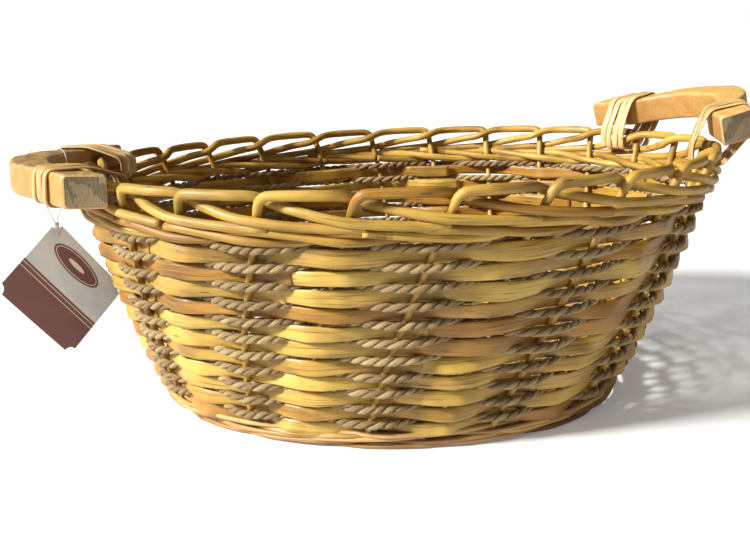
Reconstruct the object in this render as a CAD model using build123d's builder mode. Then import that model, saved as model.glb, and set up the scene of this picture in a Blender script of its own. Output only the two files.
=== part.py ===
"""Willow log basket: an oval woven basket with two wooden bow handles and a hanging paper tag.

The frame has +Z up, the floor at Z = 0 and the handles at the ends of the long axis X.
Twenty-six stakes rise from the oval base. Rows of split willow and rows of twisted rope
weave round them in turn, three wale rods close the top, and the stakes' own tips bend
over into the border. Split cane binds the handles to the border.
"""

import os
from math import atan2, cos, degrees, hypot, pi, radians, sin

from build123d import *

# Driving dimensions, in millimetres and radians.
rim_length = 500.0
rim_width = 425.0
rim_height = 190.0
base_length = 374.0
base_width = 297.0
base_turn = radians(-23)
base_shift = (-17.0, 9.0)
stake_count = 26
stake_diameter = 4.5
stake_twist = radians(-7.7)
stake_turn = radians(3.15)
wall_bulge = 0.26
row_pairs = 11
clearance = 0.4
rise_levels = (0.0, 0.15, 0.32, 0.55, 0.78, 1.0)

# The base: two woven mats with the crossed sticks between them.
mat_thickness = 1.5
stick_diameter = 6.0
long_stick_diameter = 3.4
cross_stick_count = 9
cross_stick_pitch = 20.0
long_stick_count = 3
long_stick_pitch = 8.0
stake_foot_run = 30.0
foot_bend = 4.0
rise_bend = 40.0
tip_bend = 5.0
pass_bend = 8.0
base_height = 2 * mat_thickness + stick_diameter + 2 * clearance

# The rods that close the wall at the foot and the top.
foot_rods = 3
foot_rod = 3.6
wale_rods = 3
wale_rod = 4.8
border_drop = 5.2

# The weavers.
strip_height = 8.2
strip_thickness = 2.4
rope_diameter = 4.4

# The handles and their cane lashings.
handle_reach = 43.0
handle_half_span = 104.0
handle_width = 27.0
handle_thickness = 22.0
handle_tilt = {"left": 3.0, "right": 13.0}
arch_foot = {"left": -8.6, "right": -19.0}
handle_drop = {"left": 16.2, "right": 0.0}
tab_from = 60.0
tab_slope = {"left": 0.5, "right": 0.38}
tab_width = 28.0
tab_set_in = 36.0
lashing_at = 72.0
lashing_turns = 4
cane_width = 5.0
cane_thickness = 1.3
cane_pitch = 6.6

# The swing tag on its thread loop, hung on the far half of the left handle.
tag_at = 38.0
tag_turn = radians(35)
tag_width = 84.0
tag_height = 70.0
tag_thickness = 0.6
tag_notch = 6.0
hole_inset = 7.5
tag_hole = 3.2
thread_diameter = 1.0
thread_reach = 1.4
thread_bends = (8.0, 30.0, 2.5, 30.0, 30.0, 2.5, 30.0, 8.0)
loop_drop = 42.0
loop_lean_radius = 73.0
lock_width = 4.6
lock_depth = 3.0
lock_top = 9.2
lock_slot_top = 8.0
lock_slack = 0.25
lock_pin = 2.2

stake_radius = stake_diameter / 2
foot_z = mat_thickness + clearance + stick_diameter / 2
bend_z = rim_height - stake_radius
rim_a = rim_length / 2 - stake_diameter - stake_radius - 2 * clearance
rim_b = rim_width / 2 - stake_diameter - stake_radius - 2 * clearance
base_a = base_length / 2 - foot_rod - stake_radius - clearance
base_b = base_width / 2 - foot_rod - stake_radius - clearance
border_bottom = bend_z - 2 * border_drop - stake_radius
wale_top = border_bottom - cane_thickness - 3 * clearance
wale_bottom = wale_top - wale_rods * (wale_rod + clearance)
foot_top = foot_rods * (foot_rod + clearance)
row_pitch = (wale_bottom - foot_top) / row_pairs
lashed_level = (wale_top - foot_z) / (bend_z - foot_z)


def oval_point(level, station, out):
    """Plan point of the flared oval at a level, moved out along the oval's normal."""
    share = level + wall_bulge * level * (1 - level)
    a = base_a + (rim_a - base_a) * share
    b = base_b + (rim_b - base_b) * share
    angle = 2 * pi * station / stake_count + stake_turn + stake_twist * (level - lashed_level)
    slope = hypot(cos(angle) / a, sin(angle) / b)
    x = a * cos(angle) + out * cos(angle) / a / slope
    y = b * sin(angle) + out * sin(angle) / b / slope
    drift = 1 - level
    turn = base_turn * drift
    return (
        x * cos(turn) - y * sin(turn) + base_shift[0] * drift,
        x * sin(turn) + y * cos(turn) + base_shift[1] * drift,
    )


def wall_point(z, station, out=0.0):
    """Plan point at height z beside a stake, which runs straight between its rise levels."""
    level = (z - foot_z) / (bend_z - foot_z)
    upper = next(i for i, mark in enumerate(rise_levels) if mark >= level or mark == 1.0)
    upper = max(upper, 1)
    low, high = rise_levels[upper - 1], rise_levels[upper]
    share = (level - low) / (high - low)
    below = oval_point(low, station, out)
    above = oval_point(high, station, out)
    return tuple(p + (q - p) * share for p, q in zip(below, above))


def woven_ring(name, z, height, thickness, side):
    """A closed weaver that passes outside every other stake and inside those between."""
    gap = stake_radius + 1.5 * clearance
    outer = []
    inner = []
    for station in range(stake_count):
        if station % 2 == side:
            outer.append(wall_point(z + height, station, gap + thickness))
            inner.append(wall_point(z + height, station, gap))
        else:
            outer.append(wall_point(z, station, -gap))
            inner.append(wall_point(z, station, -gap - thickness))
    with BuildPart() as ring:
        with BuildSketch(Plane.XY.offset(z)):
            Polygon(*outer, align=None)
            Polygon(*inner, align=None, mode=Mode.SUBTRACT)
        extrude(amount=height)
    save(ring.part, name)


def foot_ring(name, z, height, thickness):
    """A plain rod round the outside of all the stakes' feet."""
    gap = stake_radius + clearance
    outer = []
    inner = []
    for station in range(2 * stake_count):
        outer.append(wall_point(z + height, station / 2, gap + thickness))
        inner.append(wall_point(z + height, station / 2, gap))
    with BuildPart() as ring:
        with BuildSketch(Plane.XY.offset(z)):
            Polygon(*outer, align=None)
            Polygon(*inner, align=None, mode=Mode.SUBTRACT)
        extrude(amount=height)
    save(ring.part, name)


def base_oval(inset):
    """Corner points of the base's outline at the stakes' feet, moved in by inset."""
    return [wall_point(foot_z, station, -inset) for station in range(stake_count)]


def make_base_mats():
    """The woven mats above and below the sticks, as two plates round the crossed centre."""
    inset = stake_radius + foot_rod + 3 * clearance
    half_x = cross_stick_pitch * (cross_stick_count - 1) / 2 + stick_diameter
    half_y = long_stick_pitch * (long_stick_count - 1) / 2 + stick_diameter
    for name, z in (("base_mat_lower", 0.0), ("base_mat_upper", base_height - mat_thickness)):
        with BuildPart() as mat:
            with BuildSketch(Plane.XY.offset(z)):
                Polygon(*base_oval(inset), align=None)
                with Locations(Location((*base_shift, 0), (0, 0, degrees(base_turn)))):
                    Rectangle(2 * half_x, 2 * half_y, mode=Mode.SUBTRACT)
            extrude(amount=mat_thickness)
        save(mat.part, name)


def stick_half_length(x):
    """Half the length of a stick across the base at x, kept clear of the stakes' feet."""
    inset = stake_foot_run + stick_diameter
    a = base_a - inset
    b = base_b - inset
    return b * (1 - (x / a) ** 2) ** 0.5


def make_base_sticks():
    """Cross sticks pierced by the long sticks that run the length of the base."""
    turned = Plane(origin=(*base_shift, foot_z), x_dir=(cos(base_turn), sin(base_turn), 0))
    first_x = -cross_stick_pitch * (cross_stick_count - 1) / 2
    long_ys = [long_stick_pitch * (i - (long_stick_count - 1) / 2) for i in range(long_stick_count)]
    half_length = base_a - stake_foot_run - 2 * stick_diameter
    with BuildPart(turned) as cross_sticks:
        for i in range(cross_stick_count):
            x = first_x + i * cross_stick_pitch
            with Locations(Location((x, 0, 0), (90, 0, 0))):
                Cylinder(stick_diameter / 2, 2 * stick_half_length(x))
        with Locations(*[Location((0, y, 0), (0, 90, 0)) for y in long_ys]):
            Cylinder(long_stick_diameter / 2 + clearance, rim_length, mode=Mode.SUBTRACT)
    save(cross_sticks.part, "base_cross_sticks")
    with BuildPart(turned) as long_sticks:
        with Locations(*[Location((0, y, 0), (0, 90, 0)) for y in long_ys]):
            Cylinder(long_stick_diameter / 2, 2 * half_length)
    save(long_sticks.part, "base_long_sticks")


def stake_path(station):
    """Points from the foot between the mats, up the wall and down into the border."""
    points = []
    foot = wall_point(foot_z, station, -stake_foot_run)
    points.append((*foot, foot_z))
    for level in rise_levels:
        points.append((*oval_point(level, station, 0.0), foot_z + level * (bend_z - foot_z)))
    aside = stake_diameter + 2 * clearance
    for step, out in ((1, aside), (2, -aside)):
        z = bend_z - step * border_drop
        points.append((*wall_point(z, station + step, out), z))
    return points


def make_stakes():
    """All the stakes, each one rod whose tip is laid down to the right as the border."""
    bend_radii = [foot_bend] + [rise_bend] * (len(rise_levels) - 2) + [tip_bend, pass_bend]
    with BuildPart() as stakes:
        for station in range(stake_count):
            points = stake_path(station)
            with BuildLine() as route:
                FilletPolyline(*points, radius=bend_radii)
            start = Plane(origin=route.line @ 0, z_dir=route.line % 0)
            with BuildSketch(start):
                Circle(stake_radius)
            sweep(path=route.line)
    save(stakes.part, "stakes")


def make_weavers():
    """Foot rods, the split willow and rope rows in turn, and the wale rods at the top."""
    for i in range(foot_rods - 1):
        foot_ring(f"foot_wale_{i + 1}", i * (foot_rod + clearance), foot_rod, foot_rod)
    last_z = (foot_rods - 1) * (foot_rod + clearance)
    woven_ring(f"foot_wale_{foot_rods}", last_z, foot_rod, foot_rod, 1)
    for i in range(row_pairs):
        strip_z = foot_top + i * row_pitch
        rope_z = strip_z + strip_height + (row_pitch - strip_height - rope_diameter) / 2
        woven_ring(f"willow_strip_{i + 1:02d}", strip_z, strip_height, strip_thickness, 0)
        woven_ring(f"rope_row_{i + 1:02d}", rope_z, rope_diameter, rope_diameter, 1)
    for i in range(wale_rods):
        z = wale_bottom + i * (wale_rod + clearance)
        woven_ring(f"top_wale_{i + 1}", z, wale_rod, wale_rod, i % 2)


def handle_plane(side):
    """Plane under a handle's board: x out from the basket, tilted up about the border."""
    sign = 1 if side == "right" else -1
    tilt = radians(handle_tilt[side])
    lift = tab_set_in * sin(tilt) - handle_drop[side]
    return Plane(
        origin=(sign * rim_length / 2, 0, rim_height + clearance + lift),
        x_dir=(sign * cos(tilt), 0, sin(tilt)),
        z_dir=(-sign * sin(tilt), 0, cos(tilt)),
    )


def handle_edges(side, y):
    """Inner and outer edge of the board at y along its arch or its tabs, from the border."""
    half = abs(y)
    inner_foot = arch_foot[side]
    if half > tab_from:
        back = (half - tab_from) * tab_slope[side]
        return inner_foot - back, inner_foot + tab_width - back
    edges = []
    for foot, crown in ((inner_foot, handle_reach - handle_width), (inner_foot + tab_width, handle_reach)):
        rise = crown - foot
        radius = (tab_from**2 + rise**2) / (2 * rise)
        edges.append(crown - radius + (radius**2 - half**2) ** 0.5)
    return tuple(edges)


def make_handles():
    """Bow handles cut from thick board: an arch whose straight tabs lie on or beside the border."""
    for side in ("left", "right"):
        inner_foot = arch_foot[side]
        tab_back = (handle_half_span - tab_from) * tab_slope[side]
        with BuildPart() as handle:
            with BuildSketch(handle_plane(side)):
                with BuildLine():
                    for edge, crown in ((0, handle_reach - handle_width), (tab_width, handle_reach)):
                        foot = inner_foot + edge
                        ThreePointArc((foot, -tab_from), (crown, 0), (foot, tab_from))
                        for end in (-1, 1):
                            Line((foot, end * tab_from), (foot - tab_back, end * handle_half_span))
                    for end in (-1, 1):
                        tip = (inner_foot - tab_back, end * handle_half_span)
                        Line(tip, (tip[0] + tab_width, tip[1]))
                make_face()
            extrude(amount=handle_thickness)
        save(handle.part, f"handle_{side}")


def lashing_outline(side, y):
    """Corners, as x outwards and z, that one turn of cane binds at y: border and board."""
    ys = (abs(y) - cane_width / 2, abs(y) + cane_width / 2)
    rims = [rim_length / 2 * (1 - (2 * v / rim_width) ** 2) ** 0.5 for v in ys]
    chord_sag = rim_length / 2 * (pi / stake_count) ** 2 + clearance
    border_in = min(rims) - 2 * (rim_length / 2 - rim_a) - chord_sag
    plane = handle_plane(side)
    tilt = radians(handle_tilt[side])
    inner = min(handle_edges(side, v)[0] for v in ys)
    outer = max(handle_edges(side, v)[1] for v in ys)

    def board(u, w):
        """A board corner u out and w up, in the frame's x and z."""
        x = rim_length / 2 + u * cos(tilt) - w * sin(tilt)
        return x, plane.origin.Z + u * sin(tilt) + w * cos(tilt)

    low = min(border_bottom, board(inner, 0)[1])
    return [
        (border_in, low),
        (max(rims), low),
        board(outer, 0),
        board(outer, handle_thickness),
        board(inner, handle_thickness),
        (border_in, rim_height),
    ]


def make_lashings():
    """Four turns of split cane round handle and border at each end of each handle."""
    for side, sign in (("left", -1), ("right", 1)):
        for place, end in (("front", -1), ("back", 1)):
            with BuildPart() as lashing:
                for turn in range(lashing_turns):
                    y = end * (lashing_at + (turn - (lashing_turns - 1) / 2) * cane_pitch)
                    corners = lashing_outline(side, y)
                    face = Plane(origin=(0, y, 0), x_dir=(sign, 0, 0), z_dir=(0, -sign, 0))
                    with BuildSketch(face):
                        Polygon(*corners, align=None)
                        offset(amount=clearance + cane_thickness, kind=Kind.INTERSECTION)
                        with BuildSketch(face, mode=Mode.SUBTRACT):
                            Polygon(*corners, align=None)
                            offset(amount=clearance, kind=Kind.INTERSECTION)
                    extrude(amount=cane_width / 2, both=True)
            save(lashing.part, f"lashing_{side}_{place}")


def make_swing_tag():
    """Card tag on a thread loop round the left handle, turning on a small lock at its hole."""
    inner, outer = handle_edges("left", tag_at)
    tilt = radians(handle_tilt["left"])
    middle = (inner + outer) / 2
    board_bottom = handle_plane("left").origin.Z + middle * sin(tilt)
    lean = atan2(tag_at, loop_lean_radius)
    centre = Vector(-rim_length / 2 - middle, tag_at, board_bottom)
    loop_plane = Plane(origin=centre, x_dir=(-cos(lean), sin(lean), 0), z_dir=(sin(lean), cos(lean), 0))
    half = handle_width / 2 + thread_reach
    top = handle_thickness + thread_reach
    low = lock_top + clearance - loop_drop
    one_side = [
        (thread_diameter, low),
        (half, -thread_reach),
        (half + thread_reach, top / 2),
        (half + thread_diameter / 2, top + thread_diameter),
        (half / 3, top + 2 * thread_diameter),
    ]
    route_points = [(-x, y) for x, y in one_side] + one_side[::-1]
    with BuildPart() as loop:
        with BuildLine(loop_plane) as route:
            FilletPolyline(*route_points, radius=thread_bends)
        with BuildSketch(Plane(origin=route.line @ 0, z_dir=route.line % 0)):
            Circle(thread_diameter / 2)
        sweep(path=route.line)
    save(loop.part, "tag_loop")
    print("tag_loop bend radii", thread_bends, "length", round(route.wires()[0].length, 1))

    hole = centre - Vector(0, 0, loop_drop)
    right = Vector(cos(tag_turn), sin(tag_turn), 0)
    normal = Vector(sin(tag_turn), -cos(tag_turn), 0)
    hang = atan2(tag_width / 2 - hole_inset, tag_height / 2 - hole_inset)
    card_x = right * cos(hang) - Vector(0, 0, 1) * sin(hang)
    card_plane = Plane(origin=hole, x_dir=card_x, z_dir=normal)
    middle_of_card = (tag_width / 2 - hole_inset, hole_inset - tag_height / 2)
    with BuildPart() as card:
        with BuildSketch(card_plane):
            with Locations(middle_of_card):
                Rectangle(tag_width, tag_height)
                with GridLocations(tag_width, tag_height, 2, 2):
                    Circle(tag_notch, mode=Mode.SUBTRACT)
            Circle(tag_hole / 2, mode=Mode.SUBTRACT)
        extrude(amount=tag_thickness / 2, both=True)
    save(card.part, "swing_tag")

    lock_plane = Plane(origin=hole, x_dir=right, z_dir=normal)
    with BuildPart() as lock:
        with BuildSketch(lock_plane):
            with Locations((0, (lock_top - lock_width / 2) / 2)):
                Rectangle(lock_width, lock_top + lock_width / 2)
        extrude(amount=lock_depth / 2, both=True)
        with BuildSketch(lock_plane):
            with Locations((0, lock_slot_top / 2 - lock_width)):
                Rectangle(2 * lock_width, lock_slot_top + 2 * lock_width)
        extrude(amount=tag_thickness / 2 + lock_slack, both=True, mode=Mode.SUBTRACT)
        with BuildSketch(lock_plane):
            Circle(lock_pin / 2)
        extrude(amount=lock_depth / 2, both=True)
    save(lock.part, "loop_lock")


def save(part, name):
    """Label a finished piece and write its STEP file."""
    part.label = name
    export_step(part, f"parts/{name}.step")


os.makedirs("parts", exist_ok=True)
make_base_mats()
make_base_sticks()
make_stakes()
make_weavers()
make_handles()
make_lashings()
make_swing_tag()
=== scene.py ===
"""Oval willow log basket: woven walls, laid-down border, board handles, cane lashings, swing tag.

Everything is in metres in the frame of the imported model: +Z up, the floor at Z = 0, the
handles at the ends of X. Weavers follow one wall form, measured in stations: one station is
the step from a stake to the next, counted anticlockwise seen from above.
"""

import logging
from dataclasses import dataclass
from enum import Enum
from math import atan2, cos, pi, radians, sin

import bpy
import numpy as np
from mathutils import Matrix, Vector


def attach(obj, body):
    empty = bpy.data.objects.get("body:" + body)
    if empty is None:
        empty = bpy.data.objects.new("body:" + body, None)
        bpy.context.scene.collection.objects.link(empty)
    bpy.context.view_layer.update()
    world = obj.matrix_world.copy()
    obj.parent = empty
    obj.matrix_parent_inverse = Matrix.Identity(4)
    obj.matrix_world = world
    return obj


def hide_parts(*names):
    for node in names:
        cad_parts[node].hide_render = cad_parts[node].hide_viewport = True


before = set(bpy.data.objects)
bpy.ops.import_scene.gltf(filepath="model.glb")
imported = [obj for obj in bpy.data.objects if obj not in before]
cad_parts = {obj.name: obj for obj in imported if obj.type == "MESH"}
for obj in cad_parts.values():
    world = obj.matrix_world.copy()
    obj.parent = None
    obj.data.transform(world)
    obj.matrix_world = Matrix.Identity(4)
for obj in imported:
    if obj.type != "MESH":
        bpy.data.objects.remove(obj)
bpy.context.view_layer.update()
log = logging.getLogger("log_basket")


def unit(vectors: np.ndarray) -> np.ndarray:
    """Vectors scaled to length one along the last axis."""
    return vectors / np.maximum(np.linalg.norm(vectors, axis=-1, keepdims=True), 1e-12)


def lengths_along(path: np.ndarray) -> np.ndarray:
    """Distance from the first point to each point of a path."""
    steps = np.linalg.norm(np.diff(path, axis=0), axis=1)
    return np.concatenate([[0.0], np.cumsum(steps)])


def wander(rng: np.random.Generator, along: np.ndarray, reach: float, wave: float) -> np.ndarray:
    """A smooth random drift along a length.

    Args:
        rng: source of the drift's phases.
        along: distances at which it is wanted.
        reach: about how far it strays to each side.
        wave: its longest wavelength, in the unit of along.

    Returns:
        The drift at each distance.
    """
    total = np.zeros_like(along, dtype=float)
    for octave in (1.0, 1.9, 3.7):
        total += np.sin(2 * pi * along * octave / wave + rng.uniform(0, 2 * pi)) / octave
    return total * reach / 1.4


def smooth_through(keys: np.ndarray, steps: int) -> np.ndarray:
    """Points on a Catmull-Rom curve through the keys, with that many steps in each gap."""
    padded = np.vstack([2 * keys[0] - keys[1], keys, 2 * keys[-1] - keys[-2]])
    share = (np.arange(steps) / steps)[:, None]
    parts = []
    for before, here, after, beyond in zip(padded, padded[1:], padded[2:], padded[3:]):
        parts.append(0.5 * (
            2 * here + (after - before) * share
            + (2 * before - 5 * here + 4 * after - beyond) * share ** 2
            + (3 * here - before - 3 * after + beyond) * share ** 3
        ))
    return np.vstack(parts + [keys[-1:]])


def even_steps(path: np.ndarray, step: float, extra: np.ndarray) -> tuple[np.ndarray, np.ndarray]:
    """A path and values along it, both sampled again at even steps.

    Args:
        path: points of the path.
        step: about the distance wanted between points.
        extra: rows of values, one for each point.

    Returns:
        The new points, and the rows of values at them.
    """
    along = lengths_along(path)
    marks = np.linspace(0, along[-1], max(2, int(round(along[-1] / step))))
    points = np.stack([np.interp(marks, along, path[:, i]) for i in range(3)], axis=1)
    values = np.stack([np.interp(marks, along, extra[:, i]) for i in range(extra.shape[1])], axis=1)
    return points, values


def ring_section(radius: float, sides: int) -> np.ndarray:
    """A round section, as points out from and up along the wall."""
    turn = 2 * pi * np.arange(sides) / sides
    return radius * np.stack([np.cos(turn), np.sin(turn)], axis=1)


def round_sections(radii: np.ndarray, sides: int) -> np.ndarray:
    """Round sections, one for each radius."""
    return ring_section(1.0, sides)[None] * radii[:, None, None]


def upward(path: np.ndarray) -> np.ndarray:
    """The way up, once for each point of a path."""
    return np.tile((0.0, 0.0, 1.0), (len(path), 1))


def tube_faces(rings: int, sides: int, first: int = 0, closed: bool = False) -> np.ndarray:
    """Quads between rings of vertices that follow each other.

    Args:
        rings: how many rings there are.
        sides: how many vertices a ring has.
        first: the number of the first vertex.
        closed: whether the last ring runs into the first.

    Returns:
        The vertex numbers of each quad.
    """
    here = np.arange(rings if closed else rings - 1)[:, None] * sides
    after = (here + sides) % (rings * sides)
    j = np.arange(sides)[None]
    k = (j + 1) % sides
    return np.stack([here + j, after + j, after + k, here + k], axis=-1).reshape(-1, 4) + first


@dataclass(frozen=True)
class Wall:
    """The flared oval that the stakes stand on, whose long axis turns from the foot to the rim."""

    rim_a: float = 0.24245
    rim_b: float = 0.20495
    base_a: float = 0.18075
    base_b: float = 0.14225
    base_turn: float = radians(-23)
    base_shift: tuple[float, float] = (-0.017, 0.009)
    stake_twist: float = radians(-7.7)
    stake_turn: float = radians(3.15)
    bulge: float = 0.26
    stake_count: int = 26
    foot_z: float = 0.0049
    bend_z: float = 0.18775
    lashed_level: float = 0.917

    def place(self, z: np.ndarray, station: np.ndarray, out: np.ndarray) -> np.ndarray:
        """Points at heights z beside stations of the wall, moved out along its plan normal."""
        z, station, out = np.broadcast_arrays(
            np.asarray(z, float), np.asarray(station, float), np.asarray(out, float))
        level = (z - self.foot_z) / (self.bend_z - self.foot_z)
        share = level + self.bulge * level * (1 - level)
        a = self.base_a + (self.rim_a - self.base_a) * share
        b = self.base_b + (self.rim_b - self.base_b) * share
        angle = 2 * pi * station / self.stake_count + self.stake_turn + self.stake_twist * (
            level - self.lashed_level)
        slope = np.hypot(np.cos(angle) / a, np.sin(angle) / b)
        x = a * np.cos(angle) + out * np.cos(angle) / a / slope
        y = b * np.sin(angle) + out * np.sin(angle) / b / slope
        drift = 1 - level
        turn = self.base_turn * drift
        return np.stack([x * np.cos(turn) - y * np.sin(turn) + self.base_shift[0] * drift,
                         x * np.sin(turn) + y * np.cos(turn) + self.base_shift[1] * drift, z], axis=-1)

    def outward(self, z: np.ndarray, station: np.ndarray) -> np.ndarray:
        """Plan normals of the wall."""
        return unit(self.place(z, station, 0.01) - self.place(z, station, 0.0))


WALL = Wall()


class RodMesh:
    """Rods swept into one mesh, each vertex knowing where it lies on its own rod."""

    def __init__(self) -> None:
        """Starts with nothing."""
        self.points: list[np.ndarray] = []
        self.lie: list[np.ndarray] = []
        self.tone: list[np.ndarray] = []
        self.faces: list[list[int]] = []
        self.cut: list[float] = []
        self.count = 0

    def sweep(self, path: np.ndarray, outs: np.ndarray, section: np.ndarray, tone: float,
              start: float = 0.0, closed: bool = False) -> None:
        """Adds one rod.

        Args:
            path: its centre line.
            outs: the direction of the section's first axis at each point of the path.
            section: its outline, one for the whole rod or one for each point.
            tone: its own shade, from 0 to 1.
            start: how far along its grain it begins.
            closed: whether its end runs into its start.
        """
        count = len(path)
        if closed:
            tangent = np.roll(path, -1, axis=0) - np.roll(path, 1, axis=0)
        else:
            tangent = np.gradient(path, axis=0)
        tangent = unit(tangent)
        side = unit(outs - (outs * tangent).sum(axis=1, keepdims=True) * tangent)
        rise = np.cross(side, tangent)
        section = np.broadcast_to(section, (count,) + section.shape[-2:])
        sides = section.shape[1]
        rings = path[:, None] + side[:, None] * section[..., :1] + rise[:, None] * section[..., 1:]
        along = np.broadcast_to((start + lengths_along(path))[:, None, None], (count, sides, 1))
        self.points.append(rings.reshape(-1, 3))
        self.lie.append(np.concatenate([along, section], axis=2).reshape(-1, 3))
        self.tone.append(np.full(count * sides, tone))
        quads = tube_faces(count, sides, self.count, closed)
        self.faces.extend(quads.tolist())
        self.cut.extend([0.0] * len(quads))
        if not closed:
            last = self.count + (count - 1) * sides
            self.faces.append(list(range(self.count, self.count + sides)))
            self.faces.append(list(range(last + sides - 1, last - 1, -1)))
            self.cut.extend([1.0, 1.0])
        self.count += count * sides

    def build(self, name: str, material: bpy.types.Material) -> bpy.types.Object:
        """Makes the object, smooth but for its cut ends."""
        mesh = bpy.data.meshes.new(name)
        mesh.from_pydata(np.concatenate(self.points).tolist(), [], self.faces)
        lie = mesh.attributes.new("lie", "FLOAT_VECTOR", "POINT")
        lie.data.foreach_set("vector", np.concatenate(self.lie).ravel())
        tone = mesh.attributes.new("tone", "FLOAT", "POINT")
        tone.data.foreach_set("value", np.concatenate(self.tone))
        cut = mesh.attributes.new("cut", "FLOAT", "FACE")
        cut.data.foreach_set("value", self.cut)
        mesh.polygons.foreach_set("use_smooth", [value == 0.0 for value in self.cut])
        mesh.materials.append(material)
        mesh.update()
        piece = bpy.data.objects.new(name, mesh)
        bpy.context.scene.collection.objects.link(piece)
        return piece


def hand_over(piece: bpy.types.Object, body: str, slot: str, *nodes: str) -> bpy.types.Object:
    """Puts a finished piece on its body and hides the nodes it stands for."""
    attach(piece, body)
    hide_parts(*nodes)
    log.info("%s: %d faces on %s", piece.name, len(getattr(piece.data, "polygons", [])), body)
    return piece


def tint(red: int, green: int, blue: int) -> tuple[float, float, float, float]:
    """A colour given as it looks on a screen, 0 to 255, turned into linear light."""
    channels = [value / 255 for value in (red, green, blue)]
    linear = [c / 12.92 if c <= 0.04045 else ((c + 0.055) / 1.055) ** 2.4 for c in channels]
    return (*linear, 1.0)


Socket = bpy.types.NodeSocket


class Desk:
    """A node tree with short ways to add nodes and join them."""

    def __init__(self, tree: bpy.types.NodeTree) -> None:
        """Takes the tree to work on."""
        self.tree = tree

    def feed(self, socket: Socket, value: object) -> None:
        """Joins an output to a socket, or sets the socket to a plain value."""
        if isinstance(value, bpy.types.NodeSocket):
            self.tree.links.new(value, socket)
        else:
            socket.default_value = value

    def add(self, kind: str, settings: dict[str, object] | None = None, **inputs: object) -> bpy.types.Node:
        """Adds a node.

        Args:
            kind: the node's type, without its ShaderNode.
            settings: properties of the node.
            **inputs: its inputs by name, with _ for a space.

        Returns:
            The node.
        """
        node = self.tree.nodes.new("ShaderNode" + kind)
        for key, value in (settings or {}).items():
            setattr(node, key, value)
        for key, value in inputs.items():
            self.feed(node.inputs[key.replace("_", " ")], value)
        return node

    def sum_up(self, operation: str, first: object, second: object = 0.0, third: object = 0.0,
               clamp: bool = False) -> Socket:
        """A Math node's result."""
        node = self.add("Math", {"operation": operation, "use_clamp": clamp})
        for socket, value in zip(node.inputs, (first, second, third)):
            self.feed(socket, value)
        return node.outputs[0]

    def remap(self, value: object, low: float, high: float, to_low: float = 0.0,
              to_high: float = 1.0) -> Socket:
        """A value moved smoothly from one span to another."""
        node = self.add("MapRange", {"interpolation_type": "SMOOTHSTEP"}, Value=value)
        for key, number in zip(("From Min", "From Max", "To Min", "To Max"), (low, high, to_low, to_high)):
            node.inputs[key].default_value = number
        return node.outputs["Result"]

    def blend(self, factor: object, first: object, second: object, kind: str = "MIX") -> Socket:
        """A colour between two colours."""
        node = self.add("Mix", {"data_type": "RGBA", "blend_type": kind})
        self.feed(node.inputs[0], factor)
        self.feed(node.inputs[6], first)
        self.feed(node.inputs[7], second)
        return node.outputs[2]

    def layer(self, body: object, mask: Socket, low: float, high: float, share: float,
              shade: tuple[int, int, int]) -> Socket:
        """A shade laid over a colour up to a share, growing as the mask goes from low to high."""
        return self.blend(self.remap(mask, low, high, 0.0, share), body, tint(*shade))

    def cover(self, body: Socket, mask: Socket, share: float, shade: tuple[int, int, int]) -> Socket:
        """A shade laid over a colour in proportion to a mask."""
        return self.blend(self.sum_up("MULTIPLY", mask, share), body, tint(*shade))

    def stretch(self, vector: Socket, scale: tuple[float, float, float]) -> Socket:
        """Coordinates scaled on each axis."""
        node = self.add("VectorMath", {"operation": "MULTIPLY"})
        self.feed(node.inputs[0], vector)
        node.inputs[1].default_value = scale
        return node.outputs[0]

    def shifted(self, vector: Socket, amount: Socket) -> Socket:
        """Coordinates moved by a value on all axes."""
        node = self.add("VectorMath", {"operation": "ADD"})
        self.feed(node.inputs[0], vector)
        self.feed(node.inputs[1], amount)
        return node.outputs[0]

    def noise(self, vector: Socket, scale: float = 1.0, detail: float = 3.0,
              roughness: float = 0.5) -> Socket:
        """Noise from 0 to 1."""
        node = self.add("TexNoise", Vector=vector, Scale=scale, Detail=detail, Roughness=roughness)
        return node.outputs["Fac"]

    def mark(self, name: str, output: str = "Fac") -> Socket:
        """A value that the mesh carries."""
        return self.add("Attribute", {"attribute_name": name}).outputs[output]


def new_group(name: str, inputs: dict[str, float], outputs: dict[str, str]) -> tuple[
        bpy.types.NodeTree, Desk, bpy.types.Node, bpy.types.Node]:
    """Starts a node group.

    Args:
        name: its name.
        inputs: float inputs with their usual values.
        outputs: outputs with their socket kinds.

    Returns:
        The group, a desk on it, and its input and output nodes.
    """
    group = bpy.data.node_groups.new(name, "ShaderNodeTree")
    for key, value in inputs.items():
        group.interface.new_socket(key, in_out="INPUT", socket_type="NodeSocketFloat").default_value = value
    for key, kind in outputs.items():
        group.interface.new_socket(key, in_out="OUTPUT", socket_type="NodeSocket" + kind)
    desk = Desk(group)
    return group, desk, group.nodes.new("NodeGroupInput"), group.nodes.new("NodeGroupOutput")


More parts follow.
